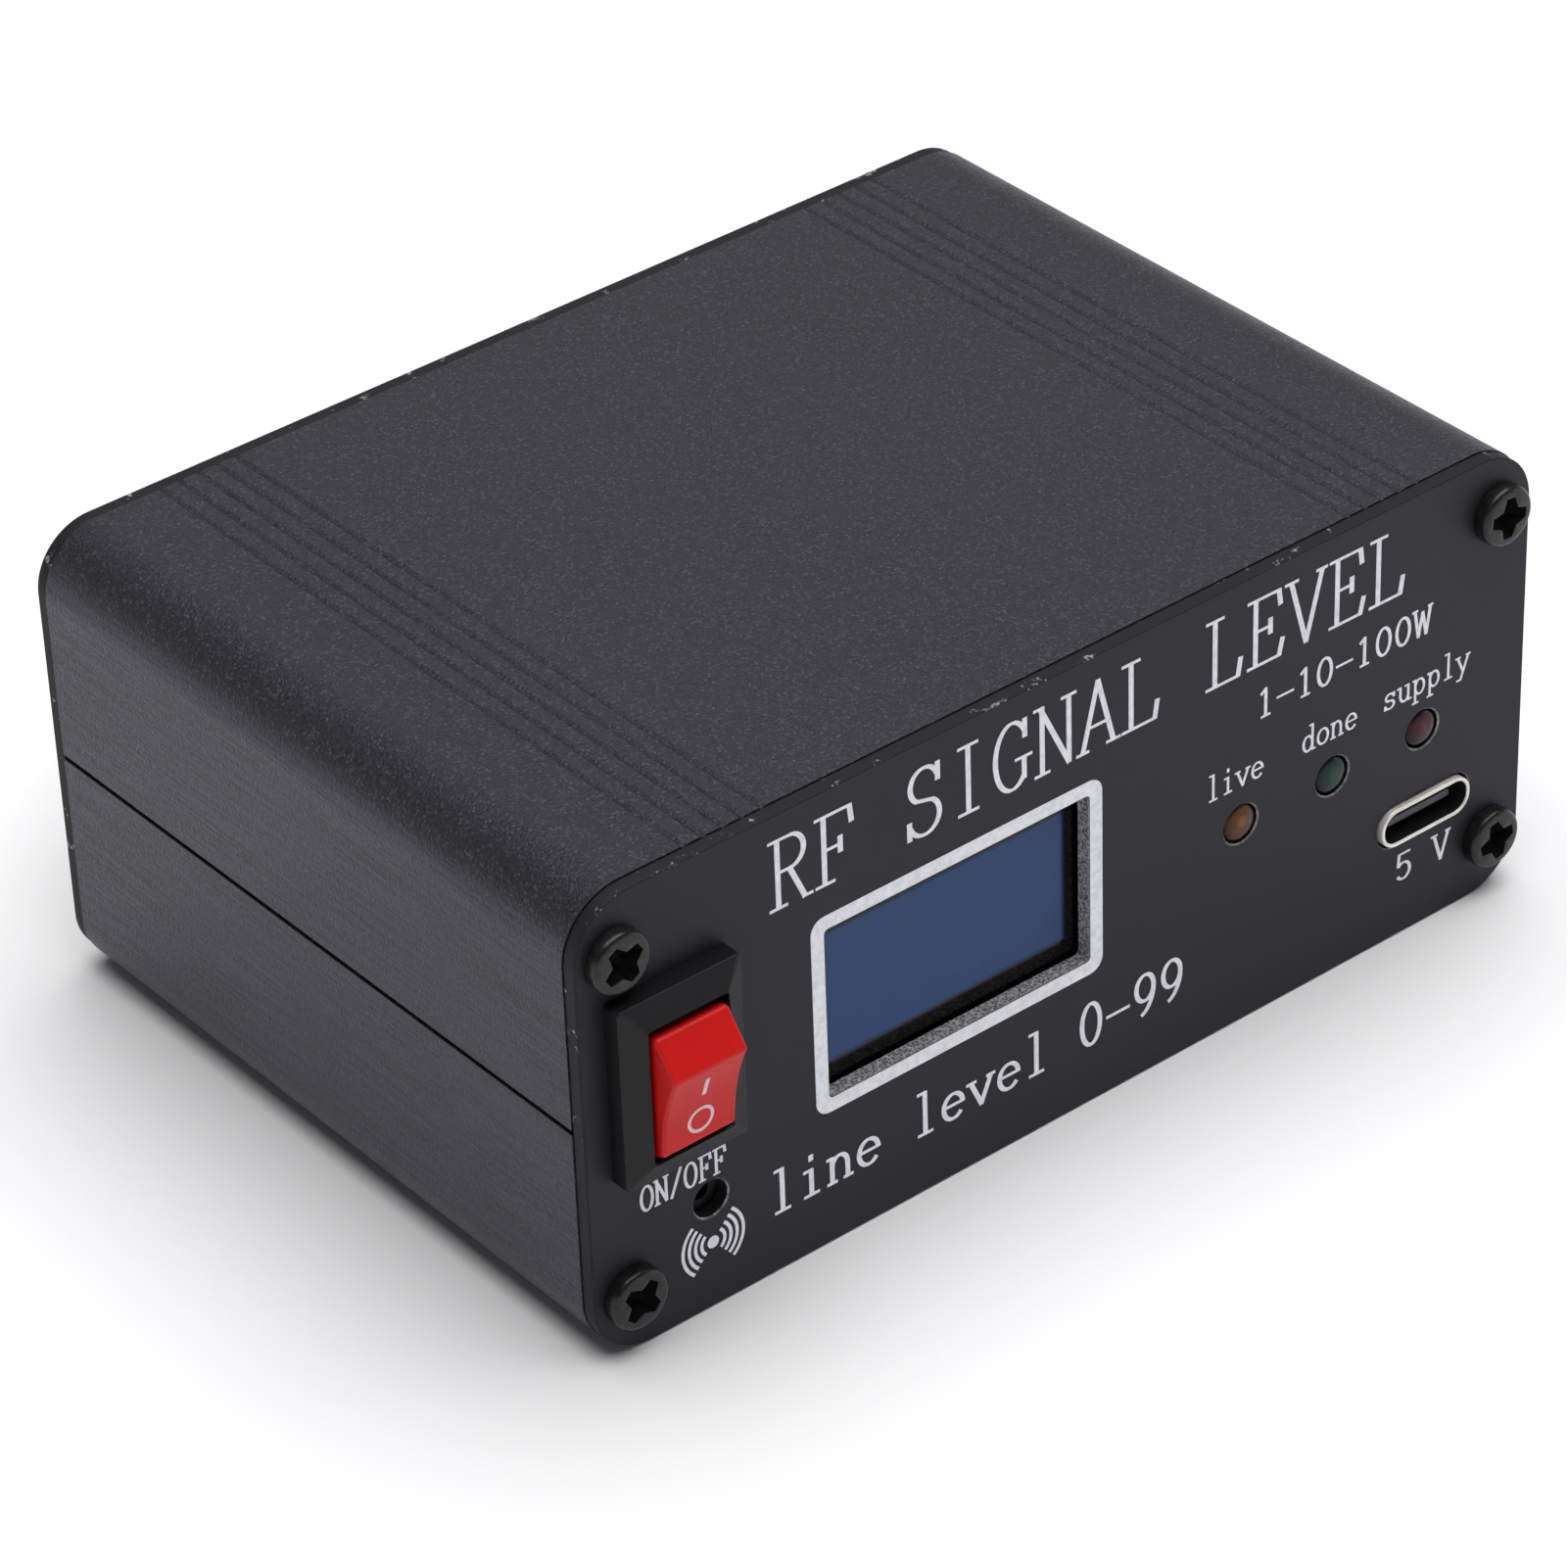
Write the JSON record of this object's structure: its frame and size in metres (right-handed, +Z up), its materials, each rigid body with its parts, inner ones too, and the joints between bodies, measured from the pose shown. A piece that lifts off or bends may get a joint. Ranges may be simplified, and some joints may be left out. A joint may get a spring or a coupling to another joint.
{
  "type": "swr meter",
  "caption": "Bench RF power and standing wave meter in a split extruded case with a display, rocker switch, indicator lamps, charging port and coaxial sockets.",
  "frame": {"origin": "middle of the case's underside", "axes": "+X to the right along the front plate, -Y out of the front plate, +Z up"},
  "size_m": [0.088, 0.0827, 0.0382],
  "materials": {
    "anodised_shell": "black anodised, fine blasted grain",
    "black_plate": "black anodised plate, satin, white printed lettering",
    "black_screw": "black oxide, oiled gloss",
    "switch_black": "moulded nylon, satin",
    "rocker_red": "moulded, semi-gloss",
    "display_glass": "dark display glass with a blue cast",
    "circuit_board": "solder mask",
    "chip_black": "moulded epoxy",
    "nickel": "nickel plated",
    "gold_contact": "gold flashed brass",
    "brass_contact": "bare brass",
    "steel": "zinc plated",
    "ivory_insulator": "turned PTFE",
    "ferrite": "sintered, matt",
    "enamelled_wire": "enamelled copper",
    "cell_foil": "laminated foil pouch",
    "foam": "foam tape",
    "ribbon": "flat cable sheath",
    "wire_red": "wire insulation",
    "wire_black": "wire insulation",
    "lamp_amber": "diffused epoxy lens, unlit",
    "lamp_green": "diffused epoxy lens, unlit",
    "lamp_red": "diffused epoxy lens, unlit"
  },
  "bodies": {
    "case": {"upper_shell": "anodised_shell", "lower_shell": "anodised_shell", "front_plate": "black_plate", "rear_plate": "black_plate", "front_screw_1": "black_screw", "rear_screw_1": "black_screw", "front_screw_2": "black_screw", "rear_screw_2": "black_screw", "front_screw_3": "black_screw", "rear_screw_3": "black_screw", "front_screw_4": "black_screw", "rear_screw_4": "black_screw", "switch_housing": "switch_black", "common_terminal": "brass_contact", "load_terminal": "brass_contact", "display_glass": "display_glass", "display_board": "circuit_board", "display_header": "chip_black", "display_ribbon": "ribbon", "main_board": "circuit_board", "port_shell": "nickel", "port_tongue": "chip_black", "run_lamp": "lamp_amber", "full_lamp": "lamp_green", "charge_lamp": "lamp_red", "buzzer": "switch_black", "controller_chip": "chip_black", "charge_chip": "chip_black", "cell_pad": "foam", "cell": "cell_foil", "cell_wire_red": "wire_red", "cell_wire_black": "wire_black", "switch_wire_red": "wire_red", "switch_wire_black": "wire_black", "transmitter_socket_body": "nickel", "transmitter_socket_insulator": "ivory_insulator", "transmitter_socket_contact": "gold_contact", "transmitter_flange_screw_1": "steel", "transmitter_flange_screw_2": "steel", "transmitter_flange_screw_3": "steel", "transmitter_flange_screw_4": "steel", "antenna_socket_body": "nickel", "antenna_socket_insulator": "ivory_insulator", "antenna_socket_contact": "gold_contact", "antenna_flange_screw_1": "steel", "antenna_flange_screw_2": "steel", "antenna_flange_screw_3": "steel", "antenna_flange_screw_4": "steel", "through_line": "brass_contact", "forward_core": "ferrite", "forward_winding": "enamelled_wire", "reflected_core": "ferrite", "reflected_winding": "enamelled_wire"},
    "rocker": {"switch_rocker": "rocker_red", "switch_plunger": "brass_contact", "plunger_spring": "steel"},
    "blade": {"contact_blade": "brass_contact"}
  },
  "joints": [
    {"name": "rocker_tilt", "type": "hinge", "parent": "case", "child": "rocker", "pos_m": [-0.03645, -0.03006, 0.0224], "axis": [-1, 0, 0], "range_deg": [0, 27]},
    {"name": "blade_tilt", "type": "hinge", "parent": "case", "child": "blade", "pos_m": [-0.03645, -0.0245, 0.0224], "axis": [-1, 0, 0], "range_deg": [-16, 0]}
  ],
  "couplings": [
    {"joint": "blade_tilt", "follows": "rocker_tilt", "ratio": -0.5925}
  ]
}
